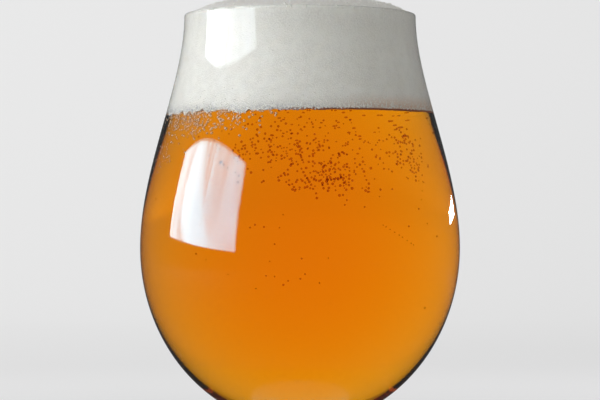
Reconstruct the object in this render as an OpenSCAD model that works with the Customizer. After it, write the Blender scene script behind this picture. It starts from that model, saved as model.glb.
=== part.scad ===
// A pint of beer in a stemmed tulip glass, with its head of foam.
// Millimetres. +Z is up, and the origin is the centre of the foot's resting face.
// Every piece is turned about Z: the beer and the foam fill the glass wall to wall.

/* [Bowl] */
// Outside diameter of the bowl at its widest ring, the belly
bowl_d = 96; // [88:1:116]
// Outside diameter at the rim
rim_d = 69.5; // [58:0.5:84]
// Height from the belly up to the top of the rim
shoulder_h = 70; // [56:1:86]
// Depth from the belly down to the inside floor of the bowl
bowl_depth = 49; // [40:1:60]
// Length over which the side runs straight up out of the belly
belly_pull = 24; // [14:1:30]
// Length over which the side runs straight up into the rim
neck_pull = 20; // [10:1:26]

/* [Wall] */
// Thickness of the glass at the rim, which is also the lip's round
rim_wall = 1.4; // [1:0.1:2.4]
// Thickness of the glass at the belly
belly_wall = 1.8; // [1.2:0.1:3]
// Thickness of the glass under the floor of the bowl
floor_wall = 4.5; // [3:0.25:9]

/* [Stem and foot] */
// Height of the bowl's underside above the table
bowl_lift = 51.5; // [40:0.5:80]
// Diameter of the stem at its waist
stem_d = 12.5; // [9:0.5:18]
// Height of the stem's waist above the table
waist_lift = 28; // [20:0.5:36]
// Length over which the stem runs straight up from its waist
flare_pull = 13; // [8:0.5:18]
// Length over which the stem runs straight down from its waist
stem_pull = 22; // [12:0.5:24]
// Diameter at which the stem's flare runs out on the bowl
flare_d = 38; // [26:1:46]
// Diameter of the foot
foot_d = 78; // [64:1:96]
// Thickness of the foot's round edge
foot_edge = 2.6; // [1.8:0.1:4]
// Rise of the foot's upper face before it sweeps up into the stem
foot_rise = 2.4; // [1:0.1:5]
// Length over which the foot's upper face runs in from its edge
foot_pull = 22; // [14:0.5:28]
// Width of the flat ring that the foot stands on
ring_w = 5; // [2:0.5:10]
// Depth of the shallow hollow under the foot
punt_h = 1.6; // [0.5:0.1:3]

/* [Drink] */
// Depth of the foam, from the top of the rim down to the beer
head_h = 30.2; // [10:0.5:40]
// Height of the foam's crown above the rim
crown_h = 5.2; // [2:0.2:9]
// Height of the soft lumps on the crown
crown_lump = 0.35; // [0:0.05:0.8]
// How flat the crown's middle is: the power of its outline there
crown_flat = 3; // [2:0.25:4]
// How steep the crown's edge is: the power of its outline there
crown_steep = 0.7; // [0.5:0.05:1]

/* [Hidden] */

// How finely the curves are drawn
curve_steps = 26;
arc_steps = 8;
foam_sides = 84;
crown_rings = 12;

// The crown's lumps are waves, each with its degrees per mm along X and along Y,
// the degrees at which it starts, and its share of the lumps' height
lump_waves = [[9, 5, 20, 0.5], [-4, 11, 0, 0.5], [17, 13, 70, 0.3]];

// Radii
belly_r = bowl_d / 2;
rim_r = rim_d / 2;
belly_in_r = belly_r - belly_wall;
rim_in_r = rim_r - rim_wall;
lip_r = rim_wall / 2;
stem_r = stem_d / 2;
flare_r = flare_d / 2;
foot_r = foot_d / 2;
edge_r = foot_edge / 2;
ring_out_r = foot_r - edge_r;
ring_in_r = ring_out_r - ring_w;

// Heights above the table
floor_z = bowl_lift + floor_wall;
belly_z = floor_z + bowl_depth;
rim_z = belly_z + shoulder_h;
lip_z = rim_z - lip_r;
beer_z = rim_z - head_h;
under_depth = bowl_depth + floor_wall;

// Where the stem's flare runs out on the bowl's underside, and the bowl's slope there
flare_angle = asin(flare_r / belly_r);
flare_end = [flare_r, belly_z - under_depth * cos(flare_angle)];
flare_way = [belly_r * cos(flare_angle), under_depth * sin(flare_angle)];

// n + 1 points along a cubic curve through the control points p
function bezier(p, n) = [
    for (i = [0:n])
        let (t = i / n, s = 1 - t)
            s*s*s * p[0] + 3*s*s*t * p[1] + 3*s*t*t * p[2] + t*t*t * p[3]
];

// Points along an arc about c, from angle a to angle b
function arc(c, r, a, b, n) = [
    for (i = [0:n])
        let (w = a + (b - a) * i / n)
            c + r * [cos(w), sin(w)]
];

// Points up a bowl's rounded underside, from angle a at its pole to the belly
function under(r, depth, a, n) = [
    for (i = [0:n])
        let (w = a + (90 - a) * i / n)
            [r * sin(w), belly_z - depth * cos(w)]
];

// Points up the side, from the belly at radius a to the lip at radius b
function side(a, b) = bezier(
    [[a, belly_z], [a, belly_z + belly_pull], [b, lip_z - neck_pull], [b, lip_z]],
    curve_steps
);

function unit(v) = v / norm(v);
function tail(list) = [for (i = [1:len(list) - 1]) list[i]];
function turned(list) = [for (i = [len(list) - 1:-1:0]) list[i]];

// The hollow under the foot, from its centre out to the resting ring
punt = bezier(
    [[0, punt_h], [ring_in_r / 2, punt_h], [ring_in_r - ring_w, 0], [ring_in_r, 0]],
    arc_steps
);
// The foot's round edge
foot_round = arc([ring_out_r, edge_r], edge_r, -90, 90, arc_steps);
// The foot's upper face, sweeping up to the waist of the stem
foot_top = bezier([
    [ring_out_r, foot_edge],
    [ring_out_r - foot_pull, foot_edge + foot_rise],
    [stem_r, waist_lift - stem_pull],
    [stem_r, waist_lift]
], curve_steps);
// The stem's flare, from its waist onto the bowl
flare = bezier([
    [stem_r, waist_lift],
    [stem_r, waist_lift + flare_pull],
    flare_end - flare_pull * unit(flare_way),
    flare_end
], curve_steps);
lip = arc([rim_in_r + lip_r, lip_z], lip_r, 0, 180, arc_steps);

outer_side = concat(
    punt, foot_round, tail(foot_top), tail(flare),
    tail(under(belly_r, under_depth, flare_angle, curve_steps)),
    tail(side(belly_r, rim_r))
);
inner_side = concat(
    under(belly_in_r, bowl_depth, 0, curve_steps),
    tail(side(belly_in_r, rim_in_r))
);

// Radius of the inner wall at height z, along the straight steps that inner_side draws
inner_steps = [for (p = inner_side) [p[1], p[0]]];
function inner_r(z) = lookup(z, inner_steps);

function sum(list, i = 0) = i < len(list) ? list[i] + sum(list, i + 1) : 0;

// Height of the foam's crown above the lip, at a share of its radius
function crown_at(share) =
    (crown_h + lip_r) * pow(1 - pow(share, crown_flat), crown_steep);
// Height of the crown's lumps, which die out towards its edge
function lumps(x, y, share) = crown_lump * (1 - pow(share, crown_flat)) * sum([
    for (wave = lump_waves) wave[3] * sin(x * wave[0] + y * wave[1] + wave[2])
]);

// The foam's outline below the lip: it follows the wall from the beer up
foam_side = concat(
    [[inner_r(beer_z), beer_z]],
    [for (p = inner_side) if (p[1] > beer_z && p[1] <= lip_z) p]
);
// The shares of the radius at which the crown's rings lie, closest near the edge
crown_shares = [for (i = [1:crown_rings - 1]) cos(90 * i / crown_rings)];

function around(r, z) = [
    for (k = [0:foam_sides - 1])
        let (w = 360 * k / foam_sides)
            [r * cos(w), r * sin(w), z]
];
function crown_ring(share) = [
    for (p = around(rim_in_r * share, lip_z))
        p + [0, 0, crown_at(share) + lumps(p[0], p[1], share)]
];

// One closed skin through rings of foam_sides points, with a point in the middle of each end
module skin(rings, low, high) {
    last = len(rings) * foam_sides;
    points = concat([for (ring = rings) each ring], [low, high]);
    function at(ring, k) = ring * foam_sides + k % foam_sides;
    faces = concat(
        [for (k = [0:foam_sides - 1]) [last, at(0, k), at(0, k + 1)]],
        [
            for (ring = [0:len(rings) - 2], k = [0:foam_sides - 1], half = [0, 1])
                half == 0
                    ? [at(ring, k), at(ring + 1, k), at(ring + 1, k + 1)]
                    : [at(ring, k), at(ring + 1, k + 1), at(ring, k + 1)]
        ],
        [
            for (k = [0:foam_sides - 1])
                [at(len(rings) - 1, k), last + 1, at(len(rings) - 1, k + 1)]
        ]
    );
    polyhedron(points, faces);
}

// The glass: foot, stem and bowl in one piece
module glass() {
    color([0.86, 0.92, 0.94, 0.35])
        rotate_extrude($fn = 120)
            polygon(concat(outer_side, tail(lip), tail(turned(inner_side))));
}

// The beer, up to the underside of the foam
module beer() {
    color([0.87, 0.48, 0.03, 0.9])
        rotate_extrude($fn = 120)
            polygon(concat(
                [for (p = inner_side) if (p[1] < beer_z) p],
                [[inner_r(beer_z), beer_z], [0, beer_z]]
            ));
}

// The foam: it fills the neck and stands above the rim in a soft crown
module foam() {
    color([0.94, 0.93, 0.89])
        skin(
            concat(
                [for (p = foam_side) around(p[0], p[1])],
                [for (share = crown_shares) crown_ring(share)]
            ),
            [0, 0, beer_z],
            [0, 0, lip_z + crown_at(0) + lumps(0, 0, 0)]
        );
}

glass();
beer();
foam();
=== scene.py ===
"""The looks of a pint of beer in a stemmed tulip glass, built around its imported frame.

Lengths are in metres. +Z is up, and the origin is the centre of the foot's resting face.
"""

import math
import random
from bisect import bisect

import bpy
from bpy.props import FloatProperty, FloatVectorProperty, IntProperty, PointerProperty
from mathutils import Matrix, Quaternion, Vector, noise


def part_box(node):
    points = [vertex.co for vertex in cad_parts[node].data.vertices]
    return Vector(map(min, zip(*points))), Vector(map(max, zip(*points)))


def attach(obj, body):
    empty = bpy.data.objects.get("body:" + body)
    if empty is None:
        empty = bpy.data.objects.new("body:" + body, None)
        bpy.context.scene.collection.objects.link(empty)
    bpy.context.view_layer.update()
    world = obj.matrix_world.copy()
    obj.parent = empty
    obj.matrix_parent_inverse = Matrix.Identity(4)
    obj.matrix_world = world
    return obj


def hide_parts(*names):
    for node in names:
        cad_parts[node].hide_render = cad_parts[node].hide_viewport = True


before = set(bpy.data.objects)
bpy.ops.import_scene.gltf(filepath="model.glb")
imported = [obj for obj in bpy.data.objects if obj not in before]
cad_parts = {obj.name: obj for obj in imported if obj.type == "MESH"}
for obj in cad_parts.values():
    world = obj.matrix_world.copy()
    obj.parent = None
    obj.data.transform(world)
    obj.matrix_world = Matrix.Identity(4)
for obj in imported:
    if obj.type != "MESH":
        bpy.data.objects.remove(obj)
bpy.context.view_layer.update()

bl_info = {
    "name": "Pint of beer",
    "version": (1, 0, 0),
    "blender": (4, 5, 0),
    "location": "View3D > Sidebar > Pint",
    "description": "Builds a tulip glass of amber beer with its foam and its bubbles",
    "category": "Add Mesh",
}

MM = 0.001
BODY = "root"

GLASS_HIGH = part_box("glass")[1]
BEER_LOW, BEER_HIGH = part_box("beer")
FOAM_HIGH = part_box("foam")[1]


def length(name, description, default):
    """A length in metres that a user may change."""
    return FloatProperty(
        name=name, description=description, default=default,
        unit="LENGTH", subtype="DISTANCE", precision=5,
    )


def angle(name, description, degrees):
    """An angle that a user may change."""
    return FloatProperty(
        name=name, description=description, default=math.radians(degrees),
        unit="ROTATION", subtype="ANGLE",
    )


def colour(name, description, default, high=1.0):
    """A linear colour that a user may change."""
    return FloatVectorProperty(
        name=name, description=description, default=default,
        subtype="COLOR", size=3, min=0, max=high,
    )


def share(name, description, default, high=1.0):
    """A plain number from 0 up that a user may change."""
    return FloatProperty(
        name=name, description=description, default=default, min=0, max=high
    )


def count(name, description, default):
    """A whole number that a user may change."""
    return IntProperty(name=name, description=description, default=default, min=8)


# ---------------------------------------------------------------------------
# Sizes and colours


class GlassSizes(bpy.types.PropertyGroup):
    """The glass: a foot, a stem and a bowl that narrows to its rim"""

    belly_radius: length("Belly radius", "Outside, at the widest ring", GLASS_HIGH.x)
    rim_z: length("Rim height", "Top of the rim above the table", GLASS_HIGH.z)
    floor_z: length("Floor height", "Inside floor of the bowl", BEER_LOW.z)
    rim_radius: length("Rim radius", "Outside, at the rim", 34.75 * MM)
    shoulder: length("Shoulder", "From the belly up to the rim", 70 * MM)
    belly_pull: length("Belly pull", "The side's straight run at the belly", 24 * MM)
    neck_pull: length("Neck pull", "The side's straight run at the rim", 20 * MM)
    rim_wall: length("Rim wall", "Thickness of the glass at the rim", 1.4 * MM)
    belly_wall: length("Belly wall", "Thickness at the belly", GLASS_HIGH.x - BEER_HIGH.x)
    floor_wall: length("Floor wall", "Thickness under the floor", 4.5 * MM)
    stem_radius: length("Stem radius", "At the waist of the stem", 6.25 * MM)
    waist_z: length("Waist height", "Height of the stem's waist", 28 * MM)
    flare_pull: length("Flare pull", "The stem's straight run above it", 13 * MM)
    stem_pull: length("Stem pull", "The stem's straight run below it", 22 * MM)
    flare_radius: length("Flare radius", "Where the flare meets the bowl", 19 * MM)
    foot_radius: length("Foot radius", "Outside of the foot", 39 * MM)
    foot_edge: length("Foot edge", "Thickness of the foot's round edge", 2.6 * MM)
    foot_rise: length("Foot rise", "Rise of the foot's upper face", 2.4 * MM)
    foot_pull: length("Foot pull", "How far the upper face runs in", 22 * MM)
    ring_width: length("Ring width", "The ring that the foot stands on", 5 * MM)
    punt: length("Punt", "Depth of the hollow under the foot", 1.6 * MM)
    under: length("Dull underside", "Where it begins, below the belly", 34 * MM)
    sides: count("Sides", "Faces around", 224)
    steps: count("Steps", "Faces along a curve", 44)
    edge_steps: count("Edge steps", "Faces over the foot's round edge", 20)
    lip_steps: count("Lip steps", "Faces over the round lip", 14)


class DrinkSizes(bpy.types.PropertyGroup):
    """The beer and the foam that stands on it"""

    beer_z: length("Beer height", "Underside of the foam", BEER_HIGH.z)
    crown_z: length("Crown height", "Top of the foam", FOAM_HIGH.z)
    reach: length("Reach", "How far beer and foam reach into the wall", 0.12 * MM)
    beer_cover: length("Beer cover", "How far the beer reaches into the foam", 1.6 * MM)
    ragged: length("Ragged", "Unevenness of the foam's lower edge", 0.95 * MM)
    # Painted shade: a dark line painted into the foam's colour where it meets the beer
    shade_line: length("Stain", "Height of the dark line where foam meets beer", 0.6 * MM)
    # Painted light: the beer's amber light, painted into the foam's colour just above the
    # beer
    glow: length("Glow", "How far up the foam the beer's colour shows", 5.5 * MM)
    lumps: length("Lumps", "Height of the crown's soft lumps", 0.4 * MM)
    pit_depth: length("Pit depth", "Depth of the crown's bubble pits", 0.16 * MM)
    pit_size: length("Pit size", "Size of the crown's bubble pits", 1.5 * MM)
    sides: count("Sides", "Faces around", 420)
    under_rings: count("Under rings", "Rings across the foam's underside", 26)
    wall_rings: count("Wall rings", "Rings up the foam's side", 46)
    crown_rings: count("Crown rings", "Rings over the crown", 64)


class Colours(bpy.types.PropertyGroup):
    """Colours of the materials, and how fast beer takes each colour out of light"""

    glass: colour("Glass", "Tint of the glass", (0.985, 0.993, 0.99))
    beer: colour("Beer", "Tint at the beer's surface", (1.0, 0.97, 0.9))
    beer_depth: colour("Beer depth", "What beer lets through", (0.996, 0.833, 0.0))
    beer_density: share("Beer density", "Per metre, for what it holds back", 95.0, 1000)
    foam: colour("Foam", "Foam seen from near", (0.86, 0.845, 0.79))
    # Painted shade in the pits between the foam's bubbles, greyer just above the beer
    foam_pit_shade: colour("Foam pits", "Foam between its bubbles", (0.62, 0.60, 0.55))
    foam_low_pit_shade: colour("Low foam pits", "The same, just above the beer", (0.40, 0.40, 0.43))
    # Painted light and shade in the foam's colour: the beer's amber glow, and the dark shade
    # line where foam meets beer
    foam_glow: colour("Foam glow", "Foam that the beer lights", (0.72, 0.47, 0.30))
    foam_shade_line: colour("Foam stain", "The line where it meets the beer", (0.26, 0.055, 0.003))
    # Painted shade: a bubble of gas in the beer is tinted a darker amber, darkest at its rim
    gas: colour("Gas", "Middle of a bubble in the beer", (0.7, 0.42, 0.09))
    gas_rim_shade: colour("Gas rim", "Rim of a bubble in the beer", (0.33, 0.14, 0.012))
    # Painted light: a bubble of froth has the beer's amber light in its middle and a pale
    # painted reflection at its rim
    film: colour("Film", "Middle of a bubble of froth", (0.92, 0.6, 0.3))
    film_rim_reflection: colour("Film rim", "Rim of a bubble of froth", (0.95, 0.88, 0.9))
    clear: colour("Clear", "What glass lets through to its shadow", (0.93, 0.95, 0.94))
    key: colour("Key light", "Tint of the key light", (0.97, 0.99, 1.08), 2)
    strip: colour("Strip light", "Tint of the small light behind", (0.93, 0.9, 1))
    cloth: colour("Cloth", "Light of the key's cloth in mirrors", (0.95, 0.98, 1.0))
    stem_mirror: colour("Stem mirror", "Head-on reflection, stem and foot", (1, 1, 1))
    bowl_mirror: colour("Bowl mirror", "The same, outside of the bowl", (0.12, 0.75, 1.0))
    neck_mirror: colour("Neck mirror", "The same, round the foam", (0.26, 0.28, 0.3))
    wet_mirror: colour("Wet mirror", "The same, inside of the bowl", (0, 0, 0))


class Finishes(bpy.types.PropertyGroup):
    """How clear, wavy, bubbly and rough the surfaces are"""

    glass_ior: share("Glass IOR", "How much glass bends light", 1.5, 3)
    beer_ior: share("Beer IOR", "How much beer bends light", 1.34, 3)
    glass_waves: share("Glass waves", "Waves in a metre of blown glass", 55, 9999)
    glass_wave: length("Glass wave", "Depth of the glass's waves", 0.03 * MM)
    wipe: share("Wipe", "Roughness of the marks that wiping leaves", 0.012)
    beer_waves: share("Beer waves", "Waves in a metre of the beer's skin", 90, 9999)
    beer_wave: length("Beer wave", "Depth of the beer's waves", 0.01 * MM)
    bubble_waves: share("Bubble waves", "Waves in a metre of bubble skin", 900, 9999)
    fine_froth: share("Fine froth", "Bubbles in a metre of fine froth", 2600, 9999)
    coarse_froth: share("Coarse froth", "Bubbles in a metre of coarse froth", 1500, 9999)
    run_froth: share("Run froth", "Bubbles in a metre across the runs", 2300, 9999)
    run_squeeze: share("Run squeeze", "Width of a run's bubbles for their height", 0.42)
    # How strongly the painted shade in the pits between the foam's bubbles shows
    fine_pits: share("Fine pits", "How much the fine froth's pits show", 0.35)
    crown_pits: share("Crown pits", "How much coarse pits show near the crown", 0.45)
    run_pits: share("Run pits", "How much the runs' pits show", 0.5)
    low_band: length("Low band", "Height of the coarse froth over the beer", 3.5 * MM)
    crown_start: length("Crown start", "Where coarse froth begins, below the top", 20 * MM)
    crown_full: length("Crown full", "Where it is at its coarsest", 7 * MM)
    froth_relief: length("Froth relief", "Depth of the froth's bubbles", 0.14 * MM)
    foam_roughness: share("Foam roughness", "Roughness of the foam", 0.55)
    foam_soft: length("Foam softness", "How far light spreads in the foam", 1.6 * MM)
    paper_grain: length("Paper grain", "Depth of the paper's grain", 0.05 * MM)


class StudioSettings(bpy.types.PropertyGroup):
    """Camera, lights and the pale sweep around the glass"""

    distance: length("Camera distance", "From the axis of the glass", 0.647)
    eye_drop: length("Eye drop", "How far the camera is below the rim", 55.7 * MM)
    lens: FloatProperty(name="Lens", description="Focal length in mm", default=129)
    sweep_radius: length("Sweep radius", "Where the sweep's wall stands", 2.6)
    sweep_cove: length("Sweep cove", "Radius of the curve into the wall", 1.1)
    sweep_height: length("Sweep height", "Top of the sweep's wall", 2.3)
    sweep_sides: count("Sweep sides", "Faces around the sweep", 96)
    floor_gap: length("Floor gap", "Air between the foot and the floor", 0.2 * MM)
    floor: colour("Floor", "Colour of the floor", (0.82, 0.82, 0.82))
    floor_glow: share("Floor glow", "Share of the wall's light in the floor", 0.12)
    wall: colour("Wall", "Colour of the wall", (0.25, 0.25, 0.25))
    bright_bearing: angle("Bright side", "Brightest part of the wall", -140)
    wall_glow: share("Wall glow", "Light of the wall at its brightest", 0.66, 10)
    wall_dim: share("Wall dim", "Light of the wall across from that", 0.30, 10)
    mirrored: share("Mirrored", "Share of its light that mirrors show", 0.05)
    rise_start: length("Rise start", "Where the floor begins to glow", 0.1)
    rise_end: length("Rise end", "Where it glows as the wall does", 0.95)
    sky: share("Sky", "Strength of the soft light from above", 0.57, 10)
    sky_mirrored: share("Sky mirrored", "Strength of it that mirrors show", 0.2, 10)
    key_bearing: angle("Key bearing", "Straight out of the key light's face", -48)
    key_distance: length("Key distance", "From the glass to the key's plane", 0.6)
    key_width: length("Key width", "Width of the key light", 0.95)
    key_height: length("Key height", "Height of the key light", 0.33)
    key_shift: length("Key shift", "How far it runs on past the glass", 0.42)
    key_lean: angle("Key lean", "How much its far end is raised", 4.5)
    key_power: share("Key power", "Watts", 2.3, 100)
    key_shine: share("Key shine", "Brightness of its cloth in mirrors", 22, 200)
    strip_bearing: angle("Strip bearing", "The small light behind", 143)
    strip_power: share("Strip power", "Watts", 0.8, 100)
    strip_width: length("Strip width", "Width of the small light", 0.25)
    strip_height: length("Strip height", "Height of the small light", 0.035)
    strip_away: length("Strip distance", "From the axis of the glass", 1.0)
    strip_z: length("Strip level", "Height of its middle above the table", 0.18)
    strip_aim: length("Strip aim", "Height on the axis that it faces", 0.115)


class PintSettings(bpy.types.PropertyGroup):
    """All settings of the pint"""

    glass: PointerProperty(type=GlassSizes)
    drink: PointerProperty(type=DrinkSizes)
    colours: PointerProperty(type=Colours)
    finish: PointerProperty(type=Finishes)
    studio: PointerProperty(type=StudioSettings)


# ---------------------------------------------------------------------------
# Outlines: lists of (radius, height)


def bezier(a, b, c, d, steps):
    """Points along the cubic curve from a to d, pulled towards b and c."""
    points = []
    for i in range(steps + 1):
        t = i / steps
        s = 1 - t
        weights = (s * s * s, 3 * s * s * t, 3 * s * t * t, t * t * t)
        points.append(
            tuple(sum(w * p[k] for w, p in zip(weights, (a, b, c, d))) for k in (0, 1))
        )
    return points


def arc(centre, radius, start, end, steps):
    """Points along an arc, with its angles in degrees."""
    points = []
    for i in range(steps + 1):
        turn = math.radians(start + (end - start) * i / steps)
        points.append(
            (centre[0] + radius * math.cos(turn), centre[1] + radius * math.sin(turn))
        )
    return points


class Bowl:
    """The outlines of the glass and of what fills it."""

    def __init__(self, glass):
        self.glass = glass
        self.belly_z = glass.rim_z - glass.shoulder
        self.lip_radius = glass.rim_wall / 2
        self.lip_z = glass.rim_z - self.lip_radius
        self.inner_belly = glass.belly_radius - glass.belly_wall
        self.inner_rim = glass.rim_radius - glass.rim_wall
        self.inner_depth = self.belly_z - glass.floor_z
        self.outer_depth = self.inner_depth + glass.floor_wall
        self.walls = {}

    def under(self, radius, depth, start=0.0):
        """Up the rounded underside, from an angle at its pole to the belly."""
        steps = self.glass.steps
        points = []
        for i in range(steps + 1):
            turn = start + (math.pi / 2 - start) * i / steps
            points.append(
                (radius * math.sin(turn), self.belly_z - depth * math.cos(turn))
            )
        return points

    def side(self, low_radius, high_radius):
        """Up the side, from the belly to the lip."""
        glass = self.glass
        return bezier(
            (low_radius, self.belly_z),
            (low_radius, self.belly_z + glass.belly_pull),
            (high_radius, self.lip_z - glass.neck_pull),
            (high_radius, self.lip_z),
            glass.steps,
        )

    def inside(self, reach=0.0):
        """The inner wall from the floor's middle to the lip, moved out by reach."""
        low = self.under(self.inner_belly + reach, self.inner_depth + reach)
        return low + self.side(self.inner_belly + reach, self.inner_rim + reach)[1:]

    def inner_radius(self, z, reach=0.0):
        """Radius of the inner wall at a height."""
        if reach not in self.walls:
            self.walls[reach] = self.inside(reach)
        points = self.walls[reach]
        above = bisect([point[1] for point in points], z)
        above = min(max(above, 1), len(points) - 1)
        (r0, z0), (r1, z1) = points[above - 1], points[above]
        return r0 + (r1 - r0) * (z - z0) / (z1 - z0)

    def stem_and_foot(self):
        """From the middle of the hollow under the foot, up to where the flare ends."""
        glass = self.glass
        edge = glass.foot_edge / 2
        ring_out = glass.foot_radius - edge
        ring_in = ring_out - glass.ring_width
        hollow = bezier(
            (0, glass.punt), (ring_in / 2, glass.punt),
            (ring_in - glass.ring_width, 0), (ring_in, 0), glass.steps,
        )
        edge_round = arc((ring_out, edge), edge, -90, 90, glass.edge_steps)
        top = bezier(
            (ring_out, glass.foot_edge),
            (ring_out - glass.foot_pull, glass.foot_edge + glass.foot_rise),
            (glass.stem_radius, glass.waist_z - glass.stem_pull),
            (glass.stem_radius, glass.waist_z),
            glass.steps,
        )
        turn = self.flare_turn()
        end = Vector(
            (glass.flare_radius, self.belly_z - self.outer_depth * math.cos(turn))
        )
        way = Vector(
            (glass.belly_radius * math.cos(turn), self.outer_depth * math.sin(turn))
        ).normalized()
        flare = bezier(
            (glass.stem_radius, glass.waist_z),
            (glass.stem_radius, glass.waist_z + glass.flare_pull),
            tuple(end - way * glass.flare_pull),
            tuple(end),
            glass.steps,
        )
        return hollow + edge_round + top[1:] + flare[1:]

    def flare_turn(self):
        """The angle from the bowl's pole at which the stem's flare meets it."""
        return math.asin(self.glass.flare_radius / self.glass.belly_radius)

    def outside(self):
        """The outer wall, from under the foot up to the lip."""
        glass = self.glass
        low = self.under(glass.belly_radius, self.outer_depth, self.flare_turn())
        side = self.side(glass.belly_radius, glass.rim_radius)
        return self.stem_and_foot() + low[1:] + side[1:]

    def lip(self):
        """Over the round lip, from outside to inside."""
        centre = (self.inner_rim + self.lip_radius, self.lip_z)
        return arc(centre, self.lip_radius, 0, 180, self.glass.lip_steps)


# ---------------------------------------------------------------------------
# Meshes


def new_piece(name, verts, faces):
    """A smooth mesh object in the scene."""
    mesh = bpy.data.meshes.new(name)
    mesh.from_pydata(verts, [], faces)
    mesh.update()
    mesh.polygons.foreach_set("use_smooth", [True] * len(mesh.polygons))
    piece = bpy.data.objects.new(name, mesh)
    bpy.context.scene.collection.objects.link(piece)
    return piece


def ring_faces(rings, sides):
    """Faces of a closed skin whose rings have a middle point at each end."""
    low = rings * sides
    faces = []
    for k in range(sides):
        after = (k + 1) % sides
        faces.append((low, after, k))
        top = (rings - 1) * sides
        faces.append((low + 1, top + k, top + after))
        for ring in range(rings - 1):
            here, there = ring * sides, (ring + 1) * sides
            faces.append((here + k, here + after, there + after, there + k))
    return faces


def turned(name, outline, sides):
    """A closed mesh turned about Z, from an outline that begins and ends on it."""
    verts = []
    for radius, z in outline[1:-1]:
        for k in range(sides):
            turn = 2 * math.pi * k / sides
            verts.append((radius * math.cos(turn), radius * math.sin(turn), z))
    verts += [(0, 0, outline[0][1]), (0, 0, outline[-1][1])]
    return new_piece(name, verts, ring_faces(len(outline) - 2, sides))


def globe(steps):
    """Vertices and faces of a unit sphere, made by splitting an octahedron."""
    verts = [Vector(v) for v in (
        (1, 0, 0), (-1, 0, 0), (0, 1, 0), (0, -1, 0), (0, 0, 1), (0, 0, -1)
    )]
    faces = [
        (0, 2, 4), (2, 1, 4), (1, 3, 4), (3, 0, 4),
        (2, 0, 5), (1, 2, 5), (3, 1, 5), (0, 3, 5),
    ]
    for _ in range(steps):
        middles = {}
        finer = []
        for a, b, c in faces:
            mids = []
            for pair in ((a, b), (b, c), (c, a)):
                key = tuple(sorted(pair))
                if key not in middles:
                    middles[key] = len(verts)
                    verts.append((verts[pair[0]] + verts[pair[1]]).normalized())
                mids.append(middles[key])
            ab, bc, ca = mids
            finer += [(a, ab, ca), (b, bc, ab), (c, ca, bc), (ab, bc, ca)]
        faces = finer
    return verts, faces


def bead_cloud(name, beads, steps=2):
    """One mesh of many little spheres, from (centre, radius) pairs."""
    unit_verts, unit_faces = globe(steps)
    verts, faces = [], []
    for centre, radius in beads:
        base = len(verts)
        verts += [tuple(centre + v * radius) for v in unit_verts]
        faces += [tuple(base + i for i in face) for face in unit_faces]
    return new_piece(name, verts, faces)


# ---------------------------------------------------------------------------
# Node trees


class Nodes:
    """A short way to place and join nodes in one tree."""

    def __init__(self, tree):
        self.tree = tree

    def add(self, kind, settings=None, **inputs):
        """A node of a kind, with its settings and its inputs by socket name."""
        node = self.tree.nodes.new(kind)
        for key, value in (settings or {}).items():
            setattr(node, key, value)
        for key, value in inputs.items():
            self.put(node, key.replace("_", " "), value)
        return node

    def put(self, node, socket, value):
        """Sets an input, or joins it where the value is another node's output."""
        target = node.inputs[socket]
        if isinstance(value, bpy.types.NodeSocket):
            self.tree.links.new(value, target)
        else:
            target.default_value = value

    def maths(self, operation, a, b=0.0, clamp=False):
        """The output of one Math node."""
        node = self.add("ShaderNodeMath", {"operation": operation, "use_clamp": clamp})
        self.put(node, 0, a)
        self.put(node, 1, b)
        return node.outputs[0]

    def spread(self, value, low, high, new_low=0.0, new_high=1.0):
        """The output of one smooth Map Range node."""
        node = self.add("ShaderNodeMapRange", {"interpolation_type": "SMOOTHSTEP"})
        for key, number in zip(
            ("Value", "From Min", "From Max", "To Min", "To Max"),
            (value, low, high, new_low, new_high),
        ):
            self.put(node, key, number)
        return node.outputs["Result"]

    def switch(self, mask, off, on):
        """One value where the mask is 0 and another where it is 1."""
        node = self.add("ShaderNodeMapRange")
        for key, value in (("Value", mask), ("To Min", off), ("To Max", on)):
            self.put(node, key, value)
        return node.outputs["Result"]

    def product(self, first, *others):
        """All the values multiplied."""
        for other in others:
            first = self.maths("MULTIPLY", first, other)
        return first

    def dot(self, a, b):
        """The dot product of two vectors."""
        node = self.add("ShaderNodeVectorMath", {"operation": "DOT_PRODUCT"})
        self.put(node, 0, a)
        self.put(node, 1, b)
        return node.outputs["Value"]

    def stretched(self, place, scale):
        """The place, scaled along each axis."""
        return self.add("ShaderNodeMapping", Vector=place, Scale=scale).outputs["Vector"]

    def noise(self, place, scale, **inputs):
        """The value of one Noise node."""
        node = self.add("ShaderNodeTexNoise", Vector=place, Scale=scale, **inputs)
        return node.outputs["Fac"]

    def either(self, factor, a, b):
        """The output of a Mix Shader node: a at 0 and b at 1."""
        node = self.add("ShaderNodeMixShader")
        self.put(node, 0, factor)
        self.put(node, 1, a)
        self.put(node, 2, b)
        return node.outputs["Shader"]

    def mix(self, factor, a, b):
        """The output of one colour Mix node."""
        node = self.add("ShaderNodeMix", {"data_type": "RGBA"})
        # Its colours are inputs 6 and 7 and output 2, after those for numbers
        self.put(node, 0, factor)
        self.put(node, 6, a)
        self.put(node, 7, b)
        return node.outputs[2]


def new_material(name):
    """An empty node material, its Nodes and its output node."""
    material = bpy.data.materials.new(name)
    material.use_nodes = True
    material.node_tree.nodes.clear()
    nodes = Nodes(material.node_tree)
    return material, nodes, nodes.add("ShaderNodeOutputMaterial")


def new_group(name, inputs, outputs):
    """A shader node group with named value sockets: its Nodes, inputs and outputs."""
    tree = bpy.data.node_groups.new(name, "ShaderNodeTree")
    for socket, kind, default in inputs:
        made = tree.interface.new_socket(socket, in_out="INPUT", socket_type=kind)
        if default is not None:
            made.default_value = default
    for socket, kind in outputs:
        tree.interface.new_socket(socket, in_out="OUTPUT", socket_type=kind)
    nodes = Nodes(tree)
    return nodes, nodes.add("NodeGroupInput"), nodes.add("NodeGroupOutput")


# A bubble's dome ends and is full at these distances from its middle, in cells
DOME = (0.75, 0.1)

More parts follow.
